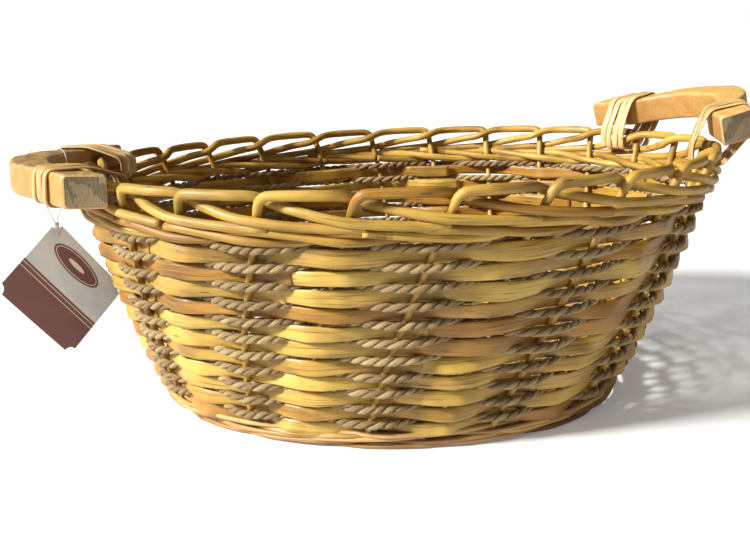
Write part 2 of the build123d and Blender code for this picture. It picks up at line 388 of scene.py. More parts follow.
class Effects:
    """The surface effects that several finishes share, each a node group made once."""

    def __init__(self) -> None:
        """Makes the groups."""
        self.grain = self.make_grain()
        self.knots = self.make_knots()
        self.scuffs = self.make_scuffs()

    def make_grain(self) -> bpy.types.NodeTree:
        """Streaks along a rod, slow blotches, and the height of its fibres."""
        group, desk, given, result = new_group(
            "grain", {"Streak Length": 0.03, "Streak Width": 0.0012},
            {"Streak": "Float", "Blotch": "Float", "Height": "Float"})
        lie = desk.mark("lie", "Vector")
        tone = desk.mark("tone")
        placed = desk.shifted(lie, tone)
        parts = desk.add("SeparateXYZ", Vector=placed).outputs
        join = desk.add("CombineXYZ")
        desk.feed(join.inputs[0], desk.sum_up("DIVIDE", parts[0], given.outputs["Streak Length"]))
        for i in (1, 2):
            desk.feed(join.inputs[i], desk.sum_up("DIVIDE", parts[i], given.outputs["Streak Width"]))
        streak = desk.noise(join.outputs[0], 1.0, 4.0, 0.6)
        blotch = desk.noise(desk.stretch(placed, (22.0, 60.0, 60.0)), 1.0, 2.0)
        fine = desk.noise(desk.stretch(join.outputs[0], (3.0, 3.0, 3.0)), 1.0, 2.0)
        height = desk.sum_up("MULTIPLY_ADD", fine, 0.4, streak)
        desk.feed(result.inputs["Streak"], streak)
        desk.feed(result.inputs["Blotch"], blotch)
        desk.feed(result.inputs["Height"], height)
        return group

    def make_knots(self) -> bpy.types.NodeTree:
        """Small dark bud marks scattered along a rod."""
        group, desk, given, result = new_group(
            "knots", {"Spacing": 0.03, "Size": 0.12}, {"Mask": "Float", "Speck": "Float"})
        placed = desk.shifted(desk.mark("lie", "Vector"), desk.mark("tone"))
        parts = desk.add("SeparateXYZ", Vector=placed).outputs
        join = desk.add("CombineXYZ")
        desk.feed(join.inputs[0], desk.sum_up("DIVIDE", parts[0], given.outputs["Spacing"]))
        for i in (1, 2):
            desk.feed(join.inputs[i], desk.sum_up("DIVIDE", parts[i], 0.006))
        cells = desk.add("TexVoronoi", {"feature": "F1"}, Vector=join.outputs[0], Scale=1.0)
        mask = desk.sum_up("LESS_THAN", cells.outputs["Distance"], given.outputs["Size"])
        soft = desk.sum_up("DIVIDE", cells.outputs["Distance"], given.outputs["Size"])
        desk.feed(result.inputs["Mask"], desk.sum_up(
            "MULTIPLY", mask, desk.sum_up("SUBTRACT", 1.0, desk.sum_up("POWER", soft, 3.0), clamp=True)))
        speck = desk.noise(desk.stretch(placed, (900.0, 1500.0, 1500.0)), 1.0, 1.0)
        desk.feed(result.inputs["Speck"], desk.remap(speck, 0.68, 0.76))
        return group

    def make_scuffs(self) -> bpy.types.NodeTree:
        """Lighter rubbed edges, found where the surface turns sharply."""
        group, desk, given, result = new_group(
            "scuffs", {"Reach": 0.52, "Breakup": 0.5}, {"Mask": "Float"})
        bent = desk.add("NewGeometry").outputs["Pointiness"]
        raised = desk.remap(bent, 0.50, 0.56)
        patchy = desk.noise(desk.stretch(desk.mark("lie", "Vector"), (90.0, 90.0, 90.0)), 1.0, 3.0)
        broken = desk.sum_up("GREATER_THAN", patchy, given.outputs["Breakup"])
        lifted = desk.sum_up("MULTIPLY", raised, given.outputs["Reach"])
        desk.feed(result.inputs["Mask"], desk.sum_up("MULTIPLY", lifted, desk.sum_up(
            "MULTIPLY_ADD", broken, 0.5, 0.5), clamp=True))
        return group


EFFECTS = Effects()


def new_material(name: str) -> tuple[bpy.types.Material, Desk, bpy.types.Node]:
    """A material with its desk and its main shader."""
    material = bpy.data.materials.new(name)
    material.use_nodes = True
    return material, Desk(material.node_tree), material.node_tree.nodes["Principled BSDF"]


def place_group(desk: Desk, group: bpy.types.NodeTree, **inputs: float) -> bpy.types.NodeOutputs:
    """Puts an effect in a material with its own values."""
    node = desk.tree.nodes.new("ShaderNodeGroup")
    node.node_tree = group
    for key, value in inputs.items():
        node.inputs[key.replace("_", " ")].default_value = value
    return node.outputs


def bump(desk: Desk, shader: bpy.types.Node, height: Socket, strength: float, depth: float) -> None:
    """Feeds a height to a shader's normal."""
    node = desk.add("Bump", Height=height, Strength=strength, Distance=depth)
    desk.feed(shader.inputs["Normal"], node.outputs["Normal"])


@dataclass(frozen=True)
class RodFinish:
    """Peeled willow: pale to golden brown, with streaks, bud marks and cut ends."""

    name: str = "willow"
    pale: tuple[int, int, int] = (206, 168, 74)
    golden: tuple[int, int, int] = (158, 110, 32)
    brown: tuple[int, int, int] = (92, 56, 16)
    cut_end: tuple[int, int, int] = (154, 108, 60)
    bud: tuple[int, int, int] = (92, 54, 26)
    speck: tuple[int, int, int] = (96, 60, 30)
    streak_length: float = 0.035
    streak_width: float = 0.0011
    knot_spacing: float = 0.035
    knot_size: float = 0.13
    roughness: float = 0.48
    coat: float = 0.12
    bump_depth: float = 0.00025

    def material(self) -> bpy.types.Material:
        """Makes the material."""
        material, desk, shader = new_material(self.name)
        grain = place_group(desk, EFFECTS.grain, Streak_Length=self.streak_length,
                            Streak_Width=self.streak_width)
        knots = place_group(desk, EFFECTS.knots, Spacing=self.knot_spacing, Size=self.knot_size)
        tone = desk.mark("tone")
        body = desk.blend(desk.remap(tone, 0.0, 1.0), tint(*self.golden), tint(*self.pale))
        body = desk.layer(body, grain["Blotch"], 0.42, 0.72, 0.6, self.brown)
        body = desk.layer(body, grain["Streak"], 0.48, 0.30, 0.65, self.brown)
        body = desk.layer(body, grain["Streak"], 0.55, 0.75, 0.55, self.pale)
        body = desk.cover(body, knots["Mask"], 0.75, self.bud)
        body = desk.cover(body, knots["Speck"], 0.5, self.speck)
        body = desk.cover(body, desk.mark("cut"), 0.85, self.cut_end)
        desk.feed(shader.inputs["Base Color"], body)
        desk.feed(shader.inputs["Roughness"], desk.remap(
            grain["Streak"], 0.2, 0.8, self.roughness - 0.08, self.roughness + 0.14))
        shader.inputs["Coat Weight"].default_value = self.coat
        shader.inputs["Coat Roughness"].default_value = 0.35
        height = desk.sum_up("MULTIPLY_ADD", knots["Mask"], 1.5, grain["Height"])
        bump(desk, shader, height, 0.8, self.bump_depth)
        return material


@dataclass(frozen=True)
class RopeFinish:
    """Twisted sea-grass rope: beige to brown strands of many dry fibres."""

    name: str = "rope"
    pale: tuple[int, int, int] = (190, 164, 112)
    beige: tuple[int, int, int] = (140, 110, 66)
    dark: tuple[int, int, int] = (72, 50, 26)
    stain: tuple[int, int, int] = (152, 112, 60)

    def material(self) -> bpy.types.Material:
        """Makes the material."""
        material, desk, shader = new_material(self.name)
        grain = place_group(desk, EFFECTS.grain, Streak_Length=0.011, Streak_Width=0.00042)
        tone = desk.mark("tone")
        body = desk.blend(desk.remap(tone, 0.0, 1.0, 0.0, 0.8), tint(*self.beige), tint(*self.pale))
        body = desk.layer(body, grain["Streak"], 0.50, 0.28, 0.8, self.dark)
        body = desk.layer(body, grain["Streak"], 0.54, 0.74, 0.7, self.pale)
        body = desk.layer(body, grain["Blotch"], 0.55, 0.75, 0.5, self.stain)
        desk.feed(shader.inputs["Base Color"], body)
        desk.feed(shader.inputs["Roughness"], desk.remap(grain["Streak"], 0.2, 0.8, 0.62, 0.85))
        shader.inputs["Sheen Weight"].default_value = 0.15
        shader.inputs["Sheen Roughness"].default_value = 0.5
        bump(desk, shader, grain["Height"], 1.0, 0.0006)
        return material


@dataclass(frozen=True)
class BoardFinish:
    """Sawn board with a slight varnish: grain along it, dark end grain that is partly painted shade, painted
    shade on the faces that do not face up, where asked a patchy grey-brown on its tops that is part
    weathering and part painted shade, and rubbed edges.
    """

    name: str = "handle_wood"
    pale: tuple[int, int, int] = (232, 190, 112)
    honey: tuple[int, int, int] = (212, 158, 80)
    brown: tuple[int, int, int] = (146, 88, 38)
    # Grey-brown for the tops: part weathering, part painted shade.
    weathered_and_shaded: tuple[int, int, int] = (150, 118, 84)
    # Dark end grain darkened further as painted shade.
    end_grain_and_shade: tuple[int, int, int] = (46, 34, 26)
    end_pale: tuple[int, int, int] = (92, 68, 46)
    rubbed: tuple[int, int, int] = (238, 208, 150)
    weathering_and_shade: float = 0.0

    def material(self) -> bpy.types.Material:
        """Makes the material."""
        material, desk, shader = new_material(self.name)
        lie = desk.mark("lie", "Vector")
        drift = desk.noise(desk.stretch(lie, (9.0, 40.0, 40.0)), 1.0, 2.0)
        parts = desk.add("SeparateXYZ", Vector=lie).outputs
        rings = desk.sum_up("MULTIPLY_ADD", drift, 9.0, desk.sum_up("MULTIPLY", parts[1], 240.0))
        rings = desk.sum_up("MULTIPLY_ADD", parts[2], 90.0, rings)
        wave = desk.sum_up("MULTIPLY_ADD", desk.sum_up("SINE", desk.sum_up("MULTIPLY", rings, 2.2)), 0.5, 0.5)
        fibre = desk.noise(desk.stretch(lie, (45.0, 900.0, 900.0)), 1.0, 4.0, 0.6)
        pores = desk.remap(desk.noise(desk.stretch(lie, (160.0, 2600.0, 2600.0)), 1.0, 1.0), 0.60, 0.70)
        body = desk.blend(desk.remap(wave, 0.25, 1.0, 0.0, 0.55), tint(*self.pale), tint(*self.honey))
        body = desk.layer(body, fibre, 0.46, 0.66, 0.7, self.honey)
        body = desk.layer(body, fibre, 0.52, 0.36, 0.4, self.brown)
        body = desk.cover(body, pores, 0.45, self.brown)
        # Painted shade: the faces that do not face up, the sides and the underside, are darkened towards
        # brown by their world normal.
        normal = desk.add("SeparateXYZ", Vector=desk.add("NewGeometry").outputs["Normal"]).outputs
        facing_up = desk.remap(normal[2], 0.35, 0.85)
        body = desk.cover(body, desk.sum_up("SUBTRACT", 1.0, facing_up), 0.45, self.brown)
        # Part weathering, part painted shade: the faces that face up get a patchy darker grey-brown, which
        # only the left board asks for.
        if self.weathering_and_shade > 0:
            patches = desk.noise(desk.stretch(lie, (60.0, 160.0, 160.0)), 1.0, 4.0, 0.65)
            patchy = desk.remap(patches, 0.30, 0.62)
            worn_and_shaded = desk.sum_up("MULTIPLY", facing_up, desk.sum_up("MULTIPLY", patchy, self.weathering_and_shade))
            body = desk.blend(worn_and_shaded, body, tint(*self.weathered_and_shaded))
        # End grain, partly painted shade: the dark end grain is made darker still, so the cut ends stay dark
        # where the key light falls on them.
        ends = desk.noise(desk.stretch(lie, (300.0, 700.0, 260.0)), 1.0, 4.0, 0.65)
        end_body = desk.blend(desk.remap(ends, 0.40, 0.72), tint(*self.end_grain_and_shade), tint(*self.end_pale))
        body = desk.blend(desk.mark("cut"), body, end_body)
        scuffs = place_group(desk, EFFECTS.scuffs, Reach=0.4, Breakup=0.48)
        body = desk.blend(scuffs["Mask"], body, tint(*self.rubbed))
        desk.feed(shader.inputs["Base Color"], body)
        desk.feed(shader.inputs["Roughness"], desk.remap(fibre, 0.2, 0.8, 0.38, 0.62))
        shader.inputs["Coat Weight"].default_value = 0.15
        shader.inputs["Coat Roughness"].default_value = 0.3
        height = desk.sum_up("MULTIPLY_ADD", fibre, 0.7, desk.sum_up("MULTIPLY", pores, -0.6))
        height = desk.sum_up("MULTIPLY_ADD", ends, desk.sum_up("MULTIPLY", desk.mark("cut"), 2.5), height)
        bump(desk, shader, height, 0.8, 0.0004)
        return material


@dataclass(frozen=True)
class CardFinish:
    """Printed card: a pale upper field with an oval plaque, a maroon lower one and two fine rules."""

    name: str = "card"
    upper: tuple[int, int, int] = (212, 226, 246)
    upper_light: tuple[int, int, int] = (232, 240, 250)
    lower: tuple[int, int, int] = (124, 88, 96)
    lower_dark: tuple[int, int, int] = (98, 70, 80)
    rule: tuple[int, int, int] = (240, 238, 234)
    split: float = -0.003
    rule_gap: float = 0.0022
    rule_width: float = 0.0005
    plaque_x: float = -0.004
    plaque_y: float = 0.0205
    plaque_half_x: float = 0.026
    plaque_half_y: float = 0.0085

    def band(self, desk: Desk, value: Socket, centre: float, width: float) -> Socket:
        """A mask of one line across the card."""
        away = desk.sum_up("ABSOLUTE", desk.sum_up("SUBTRACT", value, centre))
        return desk.sum_up("LESS_THAN", away, width / 2)

    def inside(self, desk: Desk, parts: bpy.types.NodeOutputs, half_x: float, half_y: float) -> Socket:
        """A mask of an oval about the plaque's centre."""
        across = desk.sum_up("DIVIDE", desk.sum_up("SUBTRACT", parts[0], self.plaque_x), half_x)
        up = desk.sum_up("DIVIDE", desk.sum_up("SUBTRACT", parts[1], self.plaque_y), half_y)
        spread = desk.sum_up("ADD", desk.sum_up("MULTIPLY", across, across), desk.sum_up("MULTIPLY", up, up))
        return desk.sum_up("LESS_THAN", spread, 1.0)

    def plaque(self, desk: Desk, parts: bpy.types.NodeOutputs, body: Socket, dark: tuple) -> Socket:
        """Adds an oval plaque with a pale line inside its edge and a plain leaf at its middle."""
        half_x, half_y = self.plaque_half_x, self.plaque_half_y
        body = desk.blend(self.inside(desk, parts, half_x, half_y), body, dark)
        body = desk.blend(self.inside(desk, parts, half_x * 0.92, half_y * 0.84), body, tint(*self.rule))
        body = desk.blend(self.inside(desk, parts, half_x * 0.89, half_y * 0.78), body, dark)
        return desk.blend(self.inside(desk, parts, half_x * 0.36, half_y * 0.22), body, tint(*self.rule))

    def material(self) -> bpy.types.Material:
        """Makes the material."""
        material, desk, shader = new_material(self.name)
        lie = desk.mark("lie", "Vector")
        parts = desk.add("SeparateXYZ", Vector=lie).outputs
        clouds = desk.noise(desk.stretch(lie, (24.0, 42.0, 1.0)), 1.0, 3.0)
        sky = desk.blend(desk.remap(clouds, 0.35, 0.7), tint(*self.upper), tint(*self.upper_light))
        below = desk.sum_up("LESS_THAN", parts[1], self.split)
        mottled = desk.layer(tint(*self.lower), clouds, 0.3, 0.7, 0.3, self.lower_dark)
        body = desk.blend(below, sky, mottled)
        for step in (1.0, 2.6):
            line = self.band(desk, parts[1], self.split - step * self.rule_gap, self.rule_width)
            body = desk.blend(line, body, tint(*self.rule))
        body = self.plaque(desk, parts, body, tint(*self.lower))
        desk.feed(shader.inputs["Base Color"], body)
        paper = desk.noise(desk.stretch(lie, (1400.0, 1400.0, 1.0)), 1.0, 2.0)
        desk.feed(shader.inputs["Roughness"], desk.remap(paper, 0.3, 0.7, 0.36, 0.46))
        shader.inputs["Coat Weight"].default_value = 0.2
        bump(desk, shader, paper, 0.3, 0.00005)
        return material


@dataclass(frozen=True)
class ThreadFinish:
    """Clear white plastic thread and its lock."""

    name: str = "thread"
    clear: tuple[int, int, int] = (232, 232, 228)
    cloud: tuple[int, int, int] = (246, 246, 244)

    def material(self) -> bpy.types.Material:
        """Makes the material."""
        material, desk, shader = new_material(self.name)
        place = desk.add("TexCoord").outputs["Object"]
        cloudy = desk.noise(desk.stretch(place, (300.0, 300.0, 300.0)), 1.0, 2.0)
        desk.feed(shader.inputs["Base Color"], desk.blend(
            desk.remap(cloudy, 0.3, 0.7), tint(*self.clear), tint(*self.cloud)))
        desk.feed(shader.inputs["Roughness"], desk.remap(cloudy, 0.3, 0.7, 0.22, 0.34))
        shader.inputs["Transmission Weight"].default_value = 0.25
        return material


@dataclass(frozen=True)
class Stakes:
    """Upright rods whose feet lie in the base and whose tips are laid down as the border."""

    radius: float = 0.00235
    border_radius: float = 0.0033
    foot_run: float = 0.030
    station_length: float = 0.05
    sides: int = 10
    seed: int = 11

    def keys(self, rng: np.random.Generator) -> np.ndarray:
        """Rows of station step, out, height and radius along one rod, in its own numbers."""
        lift = rng.uniform(-0.0006, 0.0006)
        slack = rng.uniform(0.85, 1.15)
        far = rng.uniform(2.8, 3.25)
        rise = [(0.0, 0.0, z, self.radius) for z in np.arange(0.012, 0.166, 0.011)]
        thick = self.border_radius
        return np.array(
            [(0.0, -self.foot_run, 0.0049, 0.0021), (0.0, -0.012, 0.0049, 0.0022),
             (0.0, -0.003, 0.0056, self.radius)] + rise + [
                (0.0, 0.0005, 0.1710, 0.0027),
                (0.0, 0.0016, 0.1785, 0.0029),
                (0.005, 0.0018, 0.1836, 0.0031),
                (0.045, 0.0019, 0.1866 + lift, thick),
                (0.12, 0.0020, 0.1876 + lift, thick),
                (0.35, 0.0020 * slack, 0.1877 + lift, thick * 1.02),
                (0.65, 0.0006, 0.1874 + lift, thick),
                (0.84, -0.0032, 0.1866 + lift, thick),
                (1.0, -0.0062, 0.1838 + lift, thick),
                (1.15, -0.0052, 0.1808, thick * 0.98),
                (1.4, 0.0006, 0.1784, thick * 0.98),
                (1.7, 0.0050 * slack, 0.1750, thick * 0.97),
                (2.0, 0.0068, 0.1720 + lift, thick * 0.95),
                (2.45, 0.0068, 0.1694, thick * 0.93),
                (far, 0.0058, 0.1672, thick * 0.9)])

    def make(self, material: bpy.types.Material) -> None:
        """Builds all the rods as one piece."""
        rng = np.random.default_rng(self.seed)
        mesh = RodMesh()
        for station in range(WALL.stake_count):
            keys = smooth_through(self.keys(rng), 5)
            step, out, z, radius = keys.T
            along = z + step * self.station_length
            lean = wander(rng, along, 0.012, 0.16) * np.clip((z - 0.01) / 0.03, 0, 1)
            bow = wander(rng, along, 0.0003, 0.09)
            where = station + step + lean
            path = WALL.place(z, where, out + bow)
            outs = WALL.outward(z, where)
            outs[(out < -0.002) & (z < 0.007)] = (0.0, 0.0, -1.0)
            size = radius * (1 + wander(rng, along, 0.04, 0.05))
            mesh.sweep(path, outs, round_sections(size, self.sides), rng.uniform(0.1, 0.9), station * 0.37)
        hand_over(mesh.build("stakes_and_border", material), "basket", "willow", "stakes")


@dataclass(frozen=True)
class TopWale:
    """Three rods in step that pass before two stakes and behind the third, under the border."""

    radius: float = 0.0031
    reach: float = 0.0055
    swings: tuple[float, ...] = (-1.0, 0.05, 1.0, 1.0, 1.0, 0.05)
    heights: tuple[float, ...] = (0.1620, 0.1645, 0.1655, 0.1635, 0.1598, 0.1588)
    first: int = 5
    rounds: int = 27
    seed: int = 23

    def make(self, material: bpy.types.Material) -> None:
        """Builds each rod as its own piece."""
        for rod in range(3):
            rng = np.random.default_rng(self.seed + rod)
            halves = np.arange(0, 2 * self.rounds + 1)
            keys = np.stack([self.first + rod + halves / 2,
                             np.array([self.swings[h % 6] for h in halves]) * self.reach,
                             np.array([self.heights[h % 6] for h in halves])], axis=1)
            keys[1:-1, 1] += rng.normal(0, 0.0003, len(keys) - 2)
            keys[1:-1, 2] += rng.normal(0, 0.0004, len(keys) - 2)
            station, out, z = smooth_through(keys, 8).T
            path = WALL.place(z, station, out)
            path, values = even_steps(path, 0.0035, np.stack([station, z], axis=1))
            outs = WALL.outward(values[:, 1], values[:, 0])
            along = lengths_along(path)
            size = self.radius * (1 + wander(rng, along, 0.05, 0.23))
            sections = round_sections(size, 10)
            mesh = RodMesh()
            breaks = np.sort(rng.choice(np.arange(2, 25), 3, replace=False)) / 26
            marks = [0] + [int(len(path) * b) for b in breaks] + [len(path) - 1]
            for begin, end in zip(marks, marks[1:]):
                span = slice(max(0, begin - 5), end + 1)
                mesh.sweep(path[span], outs[span], sections[span], rng.uniform(0, 1), rng.uniform(0, 9))
            name = f"top_wale_{rod + 1}"
            hand_over(mesh.build(f"{name}_rod", material), "basket", "willow", name)


@dataclass(frozen=True)
class StripRows:
    """Rows of split willow in overlapping lengths, rounded outside and flat inside."""

    count: int = 11
    first_z: float = 0.0161
    pitch: float = 0.01318
    reach: float = 0.0043
    half_height: float = 0.0056
    thickness: float = 0.0027
    lean: float = 0.13
    lap_lift: float = 0.0024
    station_length: float = 0.052
    seed: int = 41

    def section(self, half: np.ndarray, thick: np.ndarray) -> np.ndarray:
        """Low-crowned outlines, one for each half-height and thickness given."""
        out = np.array([-0.36, -0.42, -0.42, -0.42, -0.36, 0.10, 0.27, 0.36, 0.41, 0.43, 0.41, 0.36,
                        0.27, 0.10])
        up = np.array([-0.97, -0.6, 0.0, 0.6, 0.97, 1.0, 0.94, 0.64, 0.3, 0.0, -0.3, -0.64, -0.94, -1.0])
        order = slice(None, None, -1)
        return np.stack([thick[:, None] * out[None, order], half[:, None] * up[None, order]], axis=2)

    def weave(self, rng: np.random.Generator, station: np.ndarray) -> tuple[np.ndarray, np.ndarray]:
        """A stiff strip's straight runs, which crease on each side of a stake.

        Args:
            rng: source of the creases' places.
            station: where along the wall the strip is wanted.

        Returns:
            How far out it lies, and how far each run leans back.
        """
        first, last = int(np.floor(station[0])) - 1, int(np.ceil(station[-1])) + 1
        marks, reaches, leans = [], [], []
        for stake in range(first, last + 1):
            way = 1.0 if stake % 2 == 0 else -1.0
            for edge in (-rng.uniform(0.05, 0.24), rng.uniform(0.05, 0.24)):
                marks.append(stake + edge)
                reaches.append(way * self.reach * rng.uniform(0.92, 1.1))
                leans.append(rng.normal(0, self.lean))
        return np.interp(station, marks, reaches), np.interp(station, marks, leans)

    def make(self, material: bpy.types.Material) -> None:
        """Builds each row as its own piece."""
        for row in range(self.count):
            rng = np.random.default_rng(self.seed + row)
            mesh = RodMesh()
            start = rng.uniform(0, 26)
            lengths = rng.integers(5, 9)
            joins = np.sort(start + np.arange(lengths) * 26 / lengths + rng.uniform(-1, 1, lengths))
            joins = np.unique(np.round((joins - 1) / 2) * 2 + 1)
            ends = np.append(joins[1:], joins[0] + 26)
            base_z = self.first_z + row * self.pitch
            for begin, end in zip(joins, ends):
                lap = rng.uniform(0.25, 0.75)
                station = np.linspace(begin - lap, end + rng.uniform(0.2, 0.6), int((end - begin + 1) * 16))
                along = station * self.station_length
                z = base_z + wander(rng, along, 0.0008, 0.19)
                lapped = np.clip((begin + 0.3 - station) / 0.4, 0, 1)
                out, lean = self.weave(rng, station)
                out = out - self.lap_lift * lapped
                wave = np.cos(pi * station)
                half = self.half_height * (0.84 + 0.16 * np.abs(wave)) * rng.uniform(0.9, 1.1)
                half = half * (1 + wander(rng, along, 0.06, 0.12))
                path = WALL.place(z, station, out)
                thick = self.thickness * (1 + wander(rng, along, 0.06, 0.2))
                outs = WALL.outward(z, station)
                outs[:, 2] += lean
                mesh.sweep(path, outs, self.section(half, thick), rng.uniform(0, 1), rng.uniform(0, 9))
            name = f"willow_strip_{row + 1:02d}"
            hand_over(mesh.build(f"{name}_weaver", material), "basket", "split_willow", name)


@dataclass(frozen=True)
class RopeRows:
    """Rows of two-strand rope between the strips, with a few loose fibres."""

    count: int = 11
    first_z: float = 0.0227
    pitch: float = 0.01318
    reach: float = 0.0054
    strand_radius: float = 0.00185
    strand_offset: float = 0.00150
    lay: float = 0.0172
    flatten: tuple[float, float] = (0.86, 1.12)
    fibres: int = 46
    fibre_root: float = 0.0029
    fibre_radius: float = 0.00016
    sides: int = 8
    seed: int = 71

    def make(self, material: bpy.types.Material) -> None:
        """Builds each row as its own piece."""
        for row in range(self.count):
            rng = np.random.default_rng(self.seed + row)
            station = np.linspace(0.0, 26.0, 26 * 24 + 1)
            wave = -np.cos(pi * station)
            z = self.first_z + row * self.pitch - 0.0010 * np.clip(wave, 0, 1)
            z = z + wander(rng, 2 * pi * station / 26, 0.0004, 2 * pi / 5)
            out = self.reach * np.sign(wave) * np.abs(wave) ** 0.85
            path, values = even_steps(WALL.place(z, station, out), self.lay / 14,
                                      np.stack([station, z], axis=1))
            path, values = path[:-1], values[:-1]
            outs = WALL.outward(values[:, 1], values[:, 0])
            tangent = unit(np.roll(path, -1, axis=0) - np.roll(path, 1, axis=0))
            side = unit(outs - (outs * tangent).sum(axis=1, keepdims=True) * tangent)
            rise = np.cross(side, tangent)
            along = lengths_along(path)
            total = along[-1] + np.linalg.norm(path[0] - path[-1])
            turns = round(total / self.lay)
            angle = 2 * pi * turns * along / total + wander(rng, 2 * pi * along / total, 0.7, 2 * pi / 16)
            squeeze = 1 - 0.08 * np.exp(-(np.cos(pi * values[:, 0]) ** 2) * 8)
            mesh = RodMesh()
            for strand in (0, 1):
                phase = angle + pi * strand
                reach = (self.strand_offset * squeeze)[:, None]
                line = path + reach * (side * np.cos(phase)[:, None] + rise * np.sin(phase)[:, None])
                size = self.strand_radius * squeeze * (1 + 0.05 * np.sin(along * 310 + strand * 2 + row))
                sections = round_sections(size, self.sides)
                outs = side * np.cos(phase)[:, None] + rise * np.sin(phase)[:, None]
                mesh.sweep(line, outs, sections * self.flatten, rng.uniform(0, 1), strand * 3.0 + row,
                           closed=True)
            self.add_fibres(mesh, rng, path, side, rise, tangent)
            name = f"rope_row_{row + 1:02d}"
            hand_over(mesh.build(f"{name}_strands", material), "basket", "rope", name)

    def add_fibres(self, mesh: RodMesh, rng: np.random.Generator, path: np.ndarray, side: np.ndarray,
                   rise: np.ndarray, tangent: np.ndarray) -> None:
        """Adds short fibres that stand a little off the rope."""
        for _ in range(self.fibres):
            i = int(rng.integers(0, len(path)))
            turn = rng.uniform(-1.2, 1.2)
            radial = side[i] * cos(turn) + rise[i] * sin(turn)
            root = path[i] + radial * self.fibre_root
            run = tangent[i] * rng.choice([-1, 1])
            length = rng.uniform(0.003, 0.009)
            share = np.linspace(0, 1, 6)[:, None]
            curl = rise[i] * rng.uniform(-0.5, 0.5)
            line = root + length * (run * share + (radial * 0.22 + curl) * share ** 2)
            size = self.fibre_radius * (1 - 0.6 * share[:, 0])
            mesh.sweep(line, np.broadcast_to(radial, line.shape), round_sections(size, 4),
                       rng.uniform(0.5, 1), 0.0)


@dataclass(frozen=True)
class FootWale:
    """Six thin rods that bind the foot of the wall, in three layers of two."""

    radius: float = 0.0019
    reach: float = 0.0040
    first_z: float = 0.0020
    layer_rise: float = 0.0041
    rod_rise: float = 0.0020
    wave_stations: float = 3.25
    seed: int = 97

    def make(self, material: bpy.types.Material) -> None:
        """Builds each layer of two rods as its own piece."""
        for layer in range(3):
            mesh = RodMesh()
            for half in range(2):
                rng = np.random.default_rng(self.seed + 2 * layer + half)
                station = np.linspace(0, 26, 26 * 12 + 1)[:-1]
                period = 2 * pi * (station - layer - half * 1.5) / self.wave_stations
                swing = np.clip(0.45 + 0.9 * np.cos(period), -1.0, 1.0)
                z = self.first_z + self.layer_rise * layer + self.rod_rise * half + 0.0007 * np.sin(period)
                z = z + wander(rng, 2 * pi * station / 26, 0.0003, 2 * pi / 7)
                out = self.reach * swing + 0.0004 * half
                size = self.radius * (1 + wander(rng, 2 * pi * station / 26, 0.09, 2 * pi / 4))
                z = np.maximum(z, size + 0.0001)
                path = WALL.place(z, station, out)
                mesh.sweep(path, WALL.outward(z, station), round_sections(size, 8), rng.uniform(0, 1),
                           rng.uniform(0, 9), closed=True)
            name = f"foot_wale_{layer + 1}"
            hand_over(mesh.build(f"{name}_rods", material), "basket", "willow", name)


